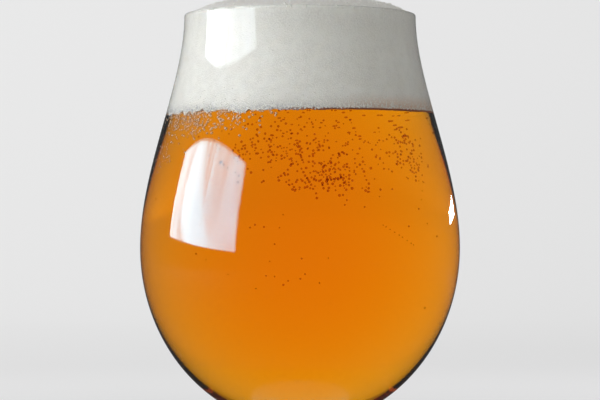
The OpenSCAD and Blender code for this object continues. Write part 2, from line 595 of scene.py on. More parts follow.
# Uneven patches of froth: their noise for that of the bubbles, and the part that is used
PATCH_SCALE = 0.14
PATCHES = (0.35, 0.7)

# Wipe marks: their noise for that of the waves, and the part that is used
WIPE_SCALE = 4.0
WIPES = (0.5, 0.8)


def froth_group():
    """Packed bubbles of one size: their height, and how deep each place lies."""
    name = "Froth"
    if name in bpy.data.node_groups:
        return bpy.data.node_groups[name]
    nodes, entry, leave = new_group(
        name,
        [
            ("Place", "NodeSocketVector", None),
            ("Bubbles per metre", "NodeSocketFloat", 1000.0),
            ("Unevenness", "NodeSocketFloat", 0.5),
        ],
        [("Height", "NodeSocketFloat"), ("Pit", "NodeSocketFloat")],
    )
    cells = nodes.add(
        "ShaderNodeTexVoronoi", {"feature": "F1"},
        Vector=entry.outputs["Place"], Scale=entry.outputs["Bubbles per metre"],
    )
    patch_scale = nodes.product(entry.outputs["Bubbles per metre"], PATCH_SCALE)
    drift = nodes.noise(entry.outputs["Place"], patch_scale, Detail=2.0)
    dome = nodes.spread(cells.outputs["Distance"], *DOME)
    patch = nodes.spread(drift, *PATCHES)
    fade = nodes.maths("SUBTRACT", 1, nodes.product(patch, entry.outputs["Unevenness"]))
    nodes.put(leave, "Height", nodes.product(dome, fade))
    nodes.put(leave, "Pit", nodes.product(nodes.maths("SUBTRACT", 1, dome), fade))
    return nodes.tree


def blown_group():
    """The faint waviness and wipe marks of blown, washed glass."""
    name = "Blown surface"
    if name in bpy.data.node_groups:
        return bpy.data.node_groups[name]
    nodes, entry, leave = new_group(
        name,
        [
            ("Place", "NodeSocketVector", None),
            ("Waves per metre", "NodeSocketFloat", 60.0),
            ("Wipe", "NodeSocketFloat", 0.02),
        ],
        [("Height", "NodeSocketFloat"), ("Roughness", "NodeSocketFloat")],
    )
    place, waves = entry.outputs["Place"], entry.outputs["Waves per metre"]
    nodes.put(leave, "Height", nodes.noise(place, waves, Detail=1.0))
    wipes = nodes.noise(place, nodes.product(waves, WIPE_SCALE), Detail=4.0)
    marks = nodes.spread(wipes, *WIPES)
    nodes.put(leave, "Roughness", nodes.product(marks, entry.outputs["Wipe"]))
    return nodes.tree


def place_group(nodes, tree, **inputs):
    """A node group placed in a material, fed with the object's own coordinates."""
    place = nodes.add("ShaderNodeTexCoord").outputs["Object"]
    return nodes.add("ShaderNodeGroup", {"node_tree": tree}, Place=place, **inputs)


def bump(nodes, height, distance, strength=1.0):
    """The Normal output of a Bump node."""
    node = nodes.add(
        "ShaderNodeBump", Height=height, Distance=distance, Strength=strength
    )
    return node.outputs["Normal"]


# ---------------------------------------------------------------------------
# Materials

# The beer's painted light on the foam, and the painted shade line, fade along the way to the
# key light:
# the place where each begins, the place where it is full, its least and its most
GLOW_REACH = (24 * MM, -4 * MM, 0.0, 0.75)
SHADE_LINE_REACH = (34 * MM, 22 * MM, 0.0, 0.9)

# Where the painted shade line ends and where it is full, as shares of its height
SHADE_LINE_SOFT = (1.3, 0.7)

# Relief of the fine froth for that of the coarse
FINE_RELIEF = 0.4

# How far patches thin out the fine froth and the runs, and the coarse froth
FINE_UNEVEN = 0.7
COARSE_UNEVEN = 0.45


def glass_material(name, pint, mirror):
    """Clear glass. mirror is the share of its head-on reflection kept, by colour."""
    finish, colours = pint.finish, pint.colours
    material, nodes, out = new_material(name)
    surface = place_group(
        nodes, blown_group(), Waves_per_metre=finish.glass_waves, Wipe=finish.wipe
    )
    shader = nodes.add(
        "ShaderNodeBsdfPrincipled",
        Base_Color=(*colours.glass, 1),
        Roughness=surface.outputs["Roughness"],
        IOR=finish.glass_ior,
        Transmission_Weight=1.0,
        Specular_Tint=(*mirror, 1),
        Normal=bump(nodes, surface.outputs["Height"], finish.glass_wave),
    )
    clear = nodes.add("ShaderNodeBsdfTransparent", Color=(*colours.clear, 1))
    shadow = nodes.add("ShaderNodeLightPath").outputs["Is Shadow Ray"]
    both = nodes.either(shadow, shader.outputs["BSDF"], clear.outputs["BSDF"])
    nodes.put(out, "Surface", both)
    return material


def beer_material(pint):
    """Clear amber beer, whose colour deepens with its thickness."""
    finish, colours = pint.finish, pint.colours
    material, nodes, out = new_material("amber_beer")
    surface = place_group(
        nodes, blown_group(), Waves_per_metre=finish.beer_waves, Wipe=0.0
    )
    shader = nodes.add(
        "ShaderNodeBsdfPrincipled",
        Base_Color=(*colours.beer, 1),
        Roughness=0.0,
        IOR=finish.beer_ior,
        Transmission_Weight=1.0,
        Specular_Tint=(*colours.wet_mirror, 1),
        Normal=bump(nodes, surface.outputs["Height"], finish.beer_wave),
    )
    depth = nodes.add(
        "ShaderNodeVolumeAbsorption",
        Color=(*colours.beer_depth, 1),
        Density=colours.beer_density,
    )
    nodes.put(out, "Surface", shader.outputs["BSDF"])
    nodes.put(out, "Volume", depth.outputs["Volume"])
    return material


def foam_froth(nodes, place, height, pint):
    """The relief of the foam's packed bubbles, and how deep each place lies in them, which
    sets the painted shade in their pits.
    """
    drink, finish = pint.drink, pint.finish
    fine = place_group(
        nodes, froth_group(), Bubbles_per_metre=finish.fine_froth,
        Unevenness=FINE_UNEVEN,
    )
    coarse = place_group(
        nodes, froth_group(), Bubbles_per_metre=finish.coarse_froth,
        Unevenness=COARSE_UNEVEN,
    )
    runs = nodes.add(
        "ShaderNodeGroup", {"node_tree": froth_group()},
        Place=nodes.stretched(place, (1, 1, finish.run_squeeze)),
        Bubbles_per_metre=finish.run_froth, Unevenness=FINE_UNEVEN,
    )
    near_beer = nodes.spread(height, drink.beer_z + finish.low_band, drink.beer_z)
    near_crown = nodes.spread(
        height, drink.crown_z - finish.crown_start, drink.crown_z - finish.crown_full
    )
    rim_z = pint.glass.rim_z
    under_rim = nodes.spread(height, rim_z + MM, rim_z - MM, 0, finish.run_pits)
    coarse_share = nodes.maths(
        "MAXIMUM", near_beer, nodes.product(near_crown, finish.crown_pits)
    )
    coarse_pit = nodes.product(coarse.outputs["Pit"], coarse_share)
    fine_pit = nodes.product(fine.outputs["Pit"], finish.fine_pits)
    run_pit = nodes.product(runs.outputs["Pit"], nodes.product(near_crown, under_rim))
    deeper = nodes.maths("MAXIMUM", coarse_pit, fine_pit)
    pit = nodes.maths("MAXIMUM", deeper, run_pit, clamp=True)
    relief = nodes.maths(
        "ADD",
        nodes.product(coarse.outputs["Height"], coarse_share),
        nodes.product(fine.outputs["Height"], FINE_RELIEF),
    )
    return relief, pit, near_beer


def beer_light(nodes, place, height, pint):
    """Where the beer's light is painted into the foam's colour, and the painted shade line
    where they meet.
    """
    drink = pint.drink
    towards_key = nodes.dot(place, outward(pint.studio.key_bearing))
    glow = nodes.product(
        nodes.spread(height, drink.beer_z + drink.glow, drink.beer_z),
        nodes.spread(towards_key, *GLOW_REACH),
    )
    line_top = drink.beer_z + SHADE_LINE_SOFT[0] * drink.shade_line
    line_low = drink.beer_z + SHADE_LINE_SOFT[1] * drink.shade_line
    shade_line = nodes.product(
        nodes.spread(height, line_top, line_low),
        nodes.spread(towards_key, *SHADE_LINE_REACH),
    )
    return glow, shade_line


def foam_material(pint):
    """Dense white froth, coarser near the beer and the crown, with the beer's amber light
    painted on just over the beer, a painted shade line where they meet and painted shade in
    its pits.
    """
    colours, finish = pint.colours, pint.finish
    material, nodes, out = new_material("beer_foam")
    place = nodes.add("ShaderNodeTexCoord").outputs["Object"]
    height = nodes.add("ShaderNodeSeparateXYZ", Vector=place).outputs["Z"]
    relief, pit, near_beer = foam_froth(nodes, place, height, pint)
    glow, shade_line = beer_light(nodes, place, height, pint)
    # Painted shade in the pits between bubbles, greyer just above the beer; painted amber
    # light from the beer; and a painted shade line where foam meets beer
    pits = nodes.mix(near_beer, (*colours.foam_pit_shade, 1), (*colours.foam_low_pit_shade, 1))
    froth = nodes.mix(pit, (*colours.foam, 1), pits)
    lit = nodes.mix(glow, froth, (*colours.foam_glow, 1))
    shader = nodes.add(
        "ShaderNodeBsdfPrincipled",
        Base_Color=nodes.mix(shade_line, lit, (*colours.foam_shade_line, 1)),
        Roughness=finish.foam_roughness,
        Specular_IOR_Level=0.3,
        Subsurface_Weight=0.3,
        Subsurface_Radius=(1.0, 0.8, 0.6),
        Subsurface_Scale=finish.foam_soft,
        Normal=bump(nodes, relief, finish.froth_relief, strength=0.9),
    )
    nodes.put(out, "Surface", shader.outputs["BSDF"])
    return material


# A bubble's skin: how uneven it is, and where it turns from its middle to its rim, whose
# tints are painted light and shade
SKIN_UNEVEN = 0.4
SKIN_TURN = (0.3, 0.75)

# How clear and how rough the skin is, of a gas bubble and of a froth bubble
GAS_SKIN = (1.0, 0.0)
FILM_SKIN = (0.25, 0.1)


def bubble_material(name, pint, middle, rim, clear, roughness):
    """The skin of a bubble: one tint in the middle and another where it turns away, painted
    light and shade.
    """
    material, nodes, out = new_material(name)
    surface = place_group(
        nodes, blown_group(), Waves_per_metre=pint.finish.bubble_waves, Wipe=0.0
    )
    turn = nodes.add("ShaderNodeLayerWeight", Blend=0.5).outputs["Facing"]
    uneven = nodes.product(surface.outputs["Height"], SKIN_UNEVEN)
    edge = nodes.spread(nodes.maths("ADD", turn, uneven), *SKIN_TURN)
    shader = nodes.add(
        "ShaderNodeBsdfPrincipled",
        Base_Color=nodes.mix(edge, (*middle, 1), (*rim, 1)),
        Roughness=roughness,
        IOR=1.0,
        Transmission_Weight=clear,
    )
    nodes.put(out, "Surface", shader.outputs["BSDF"])
    return material


def mirror_rays(nodes):
    """1 for what a mirror shows and 0 for what is seen straight or through glass."""
    path = nodes.add("ShaderNodeLightPath")
    return nodes.product(path.outputs["Is Glossy Ray"], path.outputs["Is Reflection Ray"])


# Grain of the sweep's paper
GRAINS_PER_METRE = 900.0


def sweep_material(pint):
    """Pale matt paper, lit where it rises into the wall, brighter on one side."""
    studio = pint.studio
    material, nodes, out = new_material("studio_sweep")
    place = nodes.add("ShaderNodeTexCoord").outputs["Object"]
    flat = nodes.add("ShaderNodeVectorMath", {"operation": "MULTIPLY"})
    nodes.put(flat, 0, place)
    nodes.put(flat, 1, (1, 1, 0))
    away = nodes.add("ShaderNodeVectorMath", {"operation": "LENGTH"})
    nodes.put(away, 0, flat.outputs["Vector"])
    rise = nodes.spread(away.outputs["Value"], studio.rise_start, studio.rise_end)
    light = nodes.spread(rise, 0, 1, studio.floor_glow, 1)
    bright_side = nodes.spread(
        nodes.dot(place, outward(studio.bright_bearing)),
        -studio.sweep_radius, studio.sweep_radius,
        studio.wall_dim, studio.wall_glow,
    )
    mirrored = mirror_rays(nodes)
    seen = nodes.switch(mirrored, 1, studio.mirrored)
    paper = nodes.mix(rise, (*studio.floor, 1), (*studio.wall, 1))
    dimmed = (studio.mirrored, studio.mirrored, studio.mirrored, 1)
    grain = nodes.noise(place, GRAINS_PER_METRE, Detail=3.0)
    shader = nodes.add(
        "ShaderNodeBsdfPrincipled",
        Base_Color=nodes.mix(mirrored, paper, dimmed),
        Roughness=0.9,
        Specular_IOR_Level=0.1,
        Emission_Color=(1, 1, 1, 1),
        Emission_Strength=nodes.product(light, bright_side, seen),
        Normal=bump(nodes, grain, pint.finish.paper_grain, strength=0.3),
    )
    nodes.put(out, "Surface", shader.outputs["BSDF"])
    return material


# The cloth's bright fold, in half widths across and half heights up: its left edge and
# how far that bulges about a waist, its right edge and how that leans, how soft each
# edge is, and the fold's share of the full light
FOLD_LEFT = -0.66
FOLD_BULGE = 0.225
FOLD_WAIST = 0.2
FOLD_RIGHT = 0.38
FOLD_LEAN = -0.3
FOLD_LEFT_SOFT = (-0.15, 0.4)
FOLD_RIGHT_SOFT = (-0.3, 0.25)
FOLD_LIGHT = 0.92

# The soft folds, and the pleats in them: noise cells in a metre along each axis, and the
# part of the noise that is used with the least and the most light that it gives
SOFT_CELLS = (9.0, 2.5, 1.0)
SOFT_LIGHT = (0.38, 0.62, 0.48, 0.66)
PLEAT_CELLS = (22.0, 1.5, 1.0)
PLEAT_LIGHT = (0.4, 0.6, -0.07, 0.09)

# Half heights up between which the pleats grow, where the border's fade begins and ends
# across and up, and the light that is left at the border
PLEATS_GROW = (-0.9, 0.6)
BORDER_ACROSS = (1.0, 0.95)
BORDER_UP = (1.0, 0.94)
BORDER_LIGHT = 0.3


def cloth_band(nodes, across, up):
    """The bright fold of the cloth, from a bulging left edge to a leaning right one."""
    from_waist = nodes.maths("ABSOLUTE", nodes.maths("SUBTRACT", up, FOLD_WAIST))
    bulge = nodes.product(nodes.maths("POWER", from_waist, 2.0), FOLD_BULGE)
    left = nodes.maths("ADD", bulge, FOLD_LEFT)
    right = nodes.maths("ADD", nodes.product(up, FOLD_LEAN), FOLD_RIGHT)
    return nodes.product(
        nodes.spread(nodes.maths("SUBTRACT", across, left), *FOLD_LEFT_SOFT),
        nodes.spread(nodes.maths("SUBTRACT", right, across), *FOLD_RIGHT_SOFT),
    )


def cloth_folds(nodes, place, up):
    """Soft folds of the cloth, with finer pleats that fade out towards its foot."""
    soft_place = nodes.stretched(place, SOFT_CELLS)
    soft = nodes.noise(soft_place, 1.0, Detail=2.0, Distortion=1.0)
    fine = nodes.noise(nodes.stretched(place, PLEAT_CELLS), 1.0, Detail=1.0)
    pleat = nodes.product(
        nodes.spread(fine, *PLEAT_LIGHT), nodes.spread(up, *PLEATS_GROW)
    )
    return nodes.maths("ADD", nodes.spread(soft, *SOFT_LIGHT), pleat)


def cloth_material(pint):
    """The key light's cloth: a bright fold among soft ones, darker at its borders."""
    studio = pint.studio
    material, nodes, out = new_material("light_cloth")
    place = nodes.add("ShaderNodeTexCoord").outputs["Object"]
    spot = nodes.add("ShaderNodeSeparateXYZ", Vector=place)
    across = nodes.maths("DIVIDE", spot.outputs["X"], studio.key_width / 2)
    up = nodes.maths("DIVIDE", spot.outputs["Y"], studio.key_height / 2)
    band = nodes.product(cloth_band(nodes, across, up), FOLD_LIGHT)
    fullest = nodes.maths("MAXIMUM", cloth_folds(nodes, place, up), band)
    border = nodes.product(
        nodes.spread(nodes.maths("ABSOLUTE", across), *BORDER_ACROSS),
        nodes.spread(nodes.maths("ABSOLUTE", up), *BORDER_UP),
    )
    edge = nodes.spread(border, 0, 1, BORDER_LIGHT, 1)
    glow = nodes.add(
        "ShaderNodeEmission", Color=(*pint.colours.cloth, 1),
        Strength=nodes.product(fullest, edge, studio.key_shine),
    )
    unseen = nodes.add("ShaderNodeBsdfTransparent")
    through = nodes.add("ShaderNodeLightPath").outputs["Is Transmission Ray"]
    both = nodes.either(through, glow.outputs["Emission"], unseen.outputs["BSDF"])
    nodes.put(out, "Surface", both)
    return material


# ---------------------------------------------------------------------------
# Operators


def pint_settings():
    """The pint's settings in the open scene."""
    return bpy.context.scene.pint


def seat(piece, node):
    """The piece rides on the body and, where a CAD node is named, stands for it and hides it.
    """
    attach(piece, BODY)
    if node:
        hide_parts(node)


class PINT_OT_glass(bpy.types.Operator):
    """Build the glass, from its foot to its rim"""

    bl_idname = "pint.glass"
    bl_label = "Glass"

    def execute(self, context):
        pint = pint_settings()
        bowl = Bowl(pint.glass)
        inside = bowl.inside()
        outline = bowl.outside() + bowl.lip()[1:] + inside[-2::-1]
        piece = turned("tulip_glass", outline, pint.glass.sides)
        colours = pint.colours
        zones = (
            ("clear_glass", pint.glass.floor_z, colours.stem_mirror),
            ("under_glass", bowl.belly_z - pint.glass.under, colours.wet_mirror),
            ("bowl_glass", pint.drink.beer_z, colours.bowl_mirror),
            ("neck_glass", pint.drink.crown_z, colours.neck_mirror),
            ("wetted_glass", pint.drink.crown_z, colours.wet_mirror),
        )
        for name, _, mirror in zones:
            piece.data.materials.append(glass_material(name, pint, mirror))
        tops = [top for _, top, _ in zones[:-1]]
        wetted = len(bowl.outside()) + len(bowl.lip()) - 2
        first_ring = wetted * pint.glass.sides
        for face in piece.data.polygons:
            if min(face.vertices) >= first_ring:
                face.material_index = len(zones) - 1
            else:
                face.material_index = bisect(tops, face.center.z)
        seat(piece, "glass")
        return {"FINISHED"}


# How far the beer reaches into the wall, as a share of the foam's reach
BEER_REACH = 0.8


class PINT_OT_beer(bpy.types.Operator):
    """Pour the beer, which fills the bowl up to the foam"""

    bl_idname = "pint.beer"
    bl_label = "Beer"

    def execute(self, context):
        pint = pint_settings()
        bowl = Bowl(pint.glass)
        reach = pint.drink.reach * BEER_REACH
        top = pint.drink.beer_z + pint.drink.beer_cover
        outline = [p for p in bowl.inside(reach) if p[1] < top]
        edge = bowl.inner_radius(top, reach)
        outline += [(edge, top), (edge * 0.5, top), (0, top)]
        piece = turned("poured_beer", outline, pint.glass.sides)
        piece.data.materials.append(beer_material(pint))
        seat(piece, "beer")
        return {"FINISHED"}


# Waves of the foam's lower edge: how often each comes round the glass, the level of the
# noise that it is cut from, and its height
EDGE_SWELL = (3, 2.0, 0.2)
EDGE_WAVES = ((8, 5.0, 1.1), (21, 7.0, 1.0))
EDGE_RIPPLE = (50, 9.0, 0.8)

# The least height of these waves where the edge is calm, and what froth adds to it
EDGE_CALM = 0.1
EDGE_FROTHY = 0.9

# How frothy the edge is in front, and how much more so towards the left side
FROTHY_FRONT = 0.55
FROTHY_LEFT = 1.1

# Powers by which the edge's waves die out up the wall and across the underside, and by
# which the crown's lumps and the underside's die out towards the wall
WALL_FADE = 6
UNDER_FADE = 8
LUMPS_FADE = 4
CELLS_FADE = 6

# The crown's outline: the power of its middle, and of its edge
CROWN_FLAT = 3
CROWN_STEEP = 0.7
LUMPS_PER_METRE = 90

# Bubbles on the underside: their size, how far they bulge, and the share of that which
# stands out into the beer
CELL_SIZE = 1.6 * MM
CELL_DEPTH = 0.6 * MM
CELL_OUT = 0.7

# Slope of the walls of the crown's pits
PIT_SLOPE = 1.4

# Levels of the noise that the crown's pits and the underside's bubbles are cut from
PIT_LEVEL = 0.01
CELL_LEVEL = 0.3


class Head:
    """The foam's skin: its underside, its side against the glass and its crown."""

    def __init__(self, pint):
        self.bowl = Bowl(pint.glass)
        self.drink = pint.drink
        self.side = self.bowl.lip_z - self.drink.beer_z
        self.low_radius = self.bowl.inner_radius(self.drink.beer_z, self.drink.reach)

    def frothy(self, turn):
        """From 0 to 1, how coarse the foam's lower edge is at an angle."""
        return min(1, max(0, FROTHY_FRONT - FROTHY_LEFT * math.cos(turn)))

    def ragged(self, turn):
        """How far the lower edge hangs down at an angle round the axis."""
        x, y = math.cos(turn), math.sin(turn)

        def wave(often, level):
            return noise.noise(Vector((x * often, y * often, level)))

        waves = sum(height * wave(often, level) for often, level, height in EDGE_WAVES)
        often, level, height = EDGE_RIPPLE
        waves += height * abs(wave(often, level))
        often, level, height = EDGE_SWELL
        roughness = EDGE_CALM + EDGE_FROTHY * self.frothy(turn)
        return self.drink.ragged * (height * wave(often, level) + roughness * waves)

    def crown(self, x, y, radius_share):
        """Height of the crown above the lip at a place."""
        drink = self.drink
        rise = drink.crown_z - self.bowl.lip_z - drink.lumps
        base = rise * (1 - radius_share ** CROWN_FLAT) ** CROWN_STEEP
        fade = 1 - radius_share ** LUMPS_FADE
        soft = noise.noise(Vector((x, y, 0)) * LUMPS_PER_METRE) * drink.lumps
        near = noise.voronoi(Vector((x, y, PIT_LEVEL)) / drink.pit_size)[0][0]
        pits = min(1.0, near * PIT_SLOPE) * drink.pit_depth
        return base + (soft - pits) * fade

    def underside(self, x, y, radius_share):
        """How far the underside bulges into the beer at a place."""
        near = noise.voronoi(Vector((x, y, CELL_LEVEL)) / CELL_SIZE)[0][0]
        bulge = (CELL_OUT - min(1.0, near)) * CELL_DEPTH
        return bulge * (1 - radius_share ** CELLS_FADE)

    def wall_z(self, rise, hang):
        """Height on the wall, where the lower edge hangs down by a length."""
        return self.drink.beer_z + rise - hang * (1 - rise / self.side) ** WALL_FADE

    def on_wall(self, turn, rise, inset):
        """A place on the foam's side, at a height above its lower edge."""
        z = self.wall_z(rise, self.ragged(turn))
        radius = self.bowl.inner_radius(z, self.drink.reach) - inset
        return Vector((radius * math.cos(turn), radius * math.sin(turn), z))

    def on_crown(self, turn, radius_share, inset):
        """A place on the crown, at a share of its radius."""
        radius = self.bowl.inner_rim * radius_share
        x, y = radius * math.cos(turn), radius * math.sin(turn)
        z = self.bowl.lip_z + self.crown(x, y, radius_share) - inset
        return Vector((x, y, z))

    def under_point(self, turn, hang, part):
        """A vertex of the underside, at a share of its radius."""
        radius = self.low_radius * part
        x, y = radius * math.cos(turn), radius * math.sin(turn)
        z = self.drink.beer_z - self.underside(x, y, part) - hang * part ** UNDER_FADE
        return x, y, z

    def wall_point(self, turn, hang, part):
        """A vertex of the side, at a share of its height."""
        z = self.wall_z(self.side * part, hang)
        radius = self.bowl.inner_radius(z, self.drink.reach)
        return radius * math.cos(turn), radius * math.sin(turn), z

    def crown_point(self, turn, _, part):
        """A vertex of the crown, at a share of its radius."""
        return tuple(self.on_crown(turn, part, 0))

    def skin(self):
        """Vertices ring by ring, with the two middle points last, and how many rings."""
        drink = self.drink
        unders, walls, crowns = drink.under_rings, drink.wall_rings, drink.crown_rings
        rings = [(self.under_point, i / unders) for i in range(1, unders)]
        rings += [(self.wall_point, i / walls) for i in range(walls + 1)]
        rings += [
            (self.crown_point, math.cos(math.pi / 2 * i / crowns))
            for i in range(1, crowns)
        ]
        turns = [2 * math.pi * k / drink.sides for k in range(drink.sides)]
        edge = [(turn, self.ragged(turn)) for turn in turns]
        verts = [point(turn, hang, part) for point, part in rings for turn, hang in edge]
        verts.append(self.under_point(0, 0, 0))
        verts.append(self.crown_point(0, 0, 0))
        return verts, len(rings)


class PINT_OT_foam(bpy.types.Operator):
    """Raise the head of foam, from the beer to its crown above the rim"""

    bl_idname = "pint.foam"
    bl_label = "Foam"

    def execute(self, context):
        pint = pint_settings()
        verts, rings = Head(pint).skin()
        piece = new_piece("foam_head", verts, ring_faces(rings, pint.drink.sides))
        piece.data.materials.append(foam_material(pint))
        seat(piece, "foam")
        return {"FINISHED"}


# Bubbles that cling to the wall in short chains: how many chains, their bearing in
# degrees and its spread, their depth under the foam and its spread in mm, and the
# bubbles' radius in mm. A bearing is 0 to the camera and positive to its right.
CHAINS = [
    (16, 6, 7, 18, 2.6, 0.33),
    (14, 45, 5, 12, 4.5, 0.32),
    (6, 24, 10, 13, 5.0, 0.30),
    (6, -16, 9, 9, 4.0, 0.30),
]

# Bubbles that cling one by one, with the same numbers
LONE = [
    (120, 11, 8, 17.5, 3.2, 0.33),
    (26, 14, 4, 20.0, 1.6, 0.36),
    (44, 49, 4.5, 13, 5.0, 0.30),
    (45, 26, 9, 13, 6.0, 0.28),
    (90, -4, 15, 8, 4.0, 0.29),
    (75, -13, 8, 12, 5.0, 0.31),
    (60, 0, 8, 13, 4.0, 0.31),
    (26, 0, 32, 38, 9.0, 0.27),
    (80, 158, 14, 7.5, 4.0, 0.26),
    (45, 100, 30, 12, 6.0, 0.30),
]

# Rising trails: bearing and depth at both ends, how many bubbles and their radius
TRAILS = [
    (30, 32.5, 44, 38.5, 9, 0.17),
    (-6, 30, -12, 47, 5, 0.22),
]

# Seed of the random draws for the bubbles on the wall
GAS_SEED = 7

# A chain: its lean in radians and the spread of that, how far the lean drifts at each
# bubble, how many bubbles, the step between them in mm, and their sizes
CHAIN_LEAN = (0.5, 0.7)
CHAIN_DRIFT = 0.5
CHAIN_BUBBLES = (2, 5)
CHAIN_STEPS = (0.8, 1.7)
CHAIN_SIZES = (0.75, 1.1)

# Sizes of lone bubbles and of a trail's, and how far a trail's stray from even steps
LONE_SIZES = (0.6, 1.15)
TRAIL_SIZES = (0.8, 1.2)
TRAIL_STRAY = (-0.25, 0.25)

# A bubble is left out where it lies this near an earlier one, as a share of their radii,
# among so many earlier ones
TOO_NEAR = 0.9
LOOK_BACK = 60

# How far a bubble's middle stands off the wall, as a share of its radius
CLING = 1.04
FROTH_CLING = 0.4


class WallBubbles:
    """Places bubbles against the inside of the wall, and keeps a list of them."""

    def __init__(self, pint, seed, cling):
        self.bowl = Bowl(pint.glass)
        self.top = pint.drink.beer_z
        self.draw = random.Random(seed)
        self.cling = cling
        self.beads = []

    def put(self, bearing, depth, radius):
        """One bubble, at a bearing in degrees and a depth in metres."""
        z = self.top - max(depth, radius)
        off_axis = self.bowl.inner_radius(z) - radius * self.cling
        centre = outward(math.radians(bearing)) * off_axis
        centre.z = z
        for other, other_radius in self.beads[-LOOK_BACK:]:
            if (other - centre).length < (other_radius + radius) * TOO_NEAR:
                return
        self.beads.append((centre, radius))

    def lone(self, count, bearing, fan, depth, drift, radius):
        """Bubbles strewn about a place."""
        draw = self.draw
        for _ in range(count):
            self.put(
                draw.gauss(bearing, fan), draw.gauss(depth, drift) * MM,
                radius * draw.uniform(*LONE_SIZES) * MM,
            )

    def chains(self, count, bearing, fan, depth, drift, radius):
        """Short chains of bubbles, each on a line of its own."""
        draw = self.draw
        for _ in range(count):
            here = [draw.gauss(bearing, fan), draw.gauss(depth, drift)]
            lean = draw.gauss(*CHAIN_LEAN)
            for _ in range(draw.randint(*CHAIN_BUBBLES)):
                size = radius * draw.uniform(*CHAIN_SIZES) * MM
                self.put(here[0], here[1] * MM, size)
                step = draw.uniform(*CHAIN_STEPS)
                turn = math.degrees(step * MM / self.bowl.inner_belly)
                here[0] += turn * math.cos(lean)
                here[1] += step * math.sin(lean)
                lean += draw.gauss(0, CHAIN_DRIFT)

    def trail(self, bearing, depth, last_bearing, last_depth, count, radius):
        """Bubbles at even steps between two places."""
        for i in range(count):
            part = (i + self.draw.uniform(*TRAIL_STRAY)) / (count - 1)
            self.put(
                bearing + (last_bearing - bearing) * part,
                (depth + (last_depth - depth) * part) * MM,
                radius * self.draw.uniform(*TRAIL_SIZES) * MM,
            )


class PINT_OT_bubbles(bpy.types.Operator):
    """Set bubbles of gas on the inside of the wall"""

    bl_idname = "pint.bubbles"
    bl_label = "Bubbles"

    def execute(self, context):
        pint = pint_settings()
        colours = pint.colours
        wall = WallBubbles(pint, GAS_SEED, CLING)
        for cluster in CHAINS:
            wall.chains(*cluster)
        for cluster in LONE:
            wall.lone(*cluster)
        for line in TRAILS:
            wall.trail(*line)
        piece = bead_cloud("wall_bubbles", wall.beads)
        piece.data.materials.append(
            bubble_material("gas_bubble", pint, colours.gas, colours.gas_rim_shade, *GAS_SKIN)
        )
        seat(piece, None)
        return {"FINISHED"}


# Coarse froth: how many tries, the bearings that they span, the bearing at which the
# froth is thickest, how far it thins out from there, and the bubbles' radii in mm
FROTH_TRIES = 1100
FROTH_SPAN = (-100, -8)
FROTH_MIDDLE = -52
FROTH_FAN = 46
FROTH_RADII = (0.2, 0.46)

# Clumps of froth: degrees across one, the level of the noise that they are cut from, the
# share of tries kept between them, what a clump adds to it, the least share anywhere,
# and the mean depth in mm between and in them
CLUMP_FAN = 5
CLUMP_LEVEL = 3
CLUMP_KEEP = 0.5
CLUMP_ADD = 1.4
LEAST_KEEP = 0.02
THIN_DEPTH = 1.2
CLUMP_DEPTH = 2.2

# Froth that has come loose, in the same columns as the lone bubbles
LOOSE_FROTH = [
    (190, -50, 12, 3.4, 2.2, 0.36),
    (40, -66, 6, 13.0, 3.0, 0.30),
]

# Seed of the random draws for the froth
FROTH_SEED = 11


class PINT_OT_froth(bpy.types.Operator):
    """Hang coarse froth under the foam where it meets the wall"""

    bl_idname = "pint.froth"
    bl_label = "Froth"

    def execute(self, context):
        pint = pint_settings()
        colours = pint.colours
        wall = WallBubbles(pint, FROTH_SEED, FROTH_CLING)
        draw = wall.draw
        for _ in range(FROTH_TRIES):
            bearing = draw.uniform(*FROTH_SPAN)
            clump = noise.noise(Vector((bearing / CLUMP_FAN, 0, CLUMP_LEVEL)))
            fade = max(LEAST_KEEP, 1 - abs(bearing - FROTH_MIDDLE) / FROTH_FAN)
            if draw.random() > (CLUMP_KEEP + CLUMP_ADD * clump) * fade:
                continue
            mean = THIN_DEPTH + CLUMP_DEPTH * max(0, clump)
            depth = draw.expovariate(1) * mean * MM
            wall.put(bearing, depth, draw.uniform(*FROTH_RADII) * MM)
        for cluster in LOOSE_FROTH:
            wall.lone(*cluster)
        piece = bead_cloud("froth_beads", wall.beads)
        piece.data.materials.append(
            bubble_material("froth_film", pint, colours.film, colours.film_rim_reflection, *FILM_SKIN)
        )
        seat(piece, None)
        return {"FINISHED"}


# Bubbles in the foam's foot: how many, their radii, the mean height and the most in mm,
# and how deep they are sunk, as a share of the radius
FOOT_BEADS = 3400
FOOT_RADII = (0.13, 0.27)
FOOT_RISE = 1.3
FOOT_TOP = 8
FOOT_SUNK = 0.35

# Bubbles in the crown: how many, the middle radius in mm and its spread, both as
# logarithms, the largest radius, how deep they are sunk, and the power that gathers them
# towards its edge
CROWN_BEADS = 1750
CROWN_RADII = (-1.45, 0.4)
CROWN_LARGEST = 0.75
CROWN_SUNK = 0.4
CROWN_GATHER = 0.42

# Bubbles under the rim: how many, with their bearing in degrees and its spread, their
# radii, the least, mean and most depth below the lip in mm, and how deep they are sunk
RIM_BEADS = [(420, -6, 13), (45, 64, 4)]
RIM_RADII = (0.15, 0.3)
RIM_DEPTHS = (1.6, 4, 16)
RIM_SUNK = 0.6

# Seed of the random draws for the bubbles in the foam
FOAM_SEED = 5


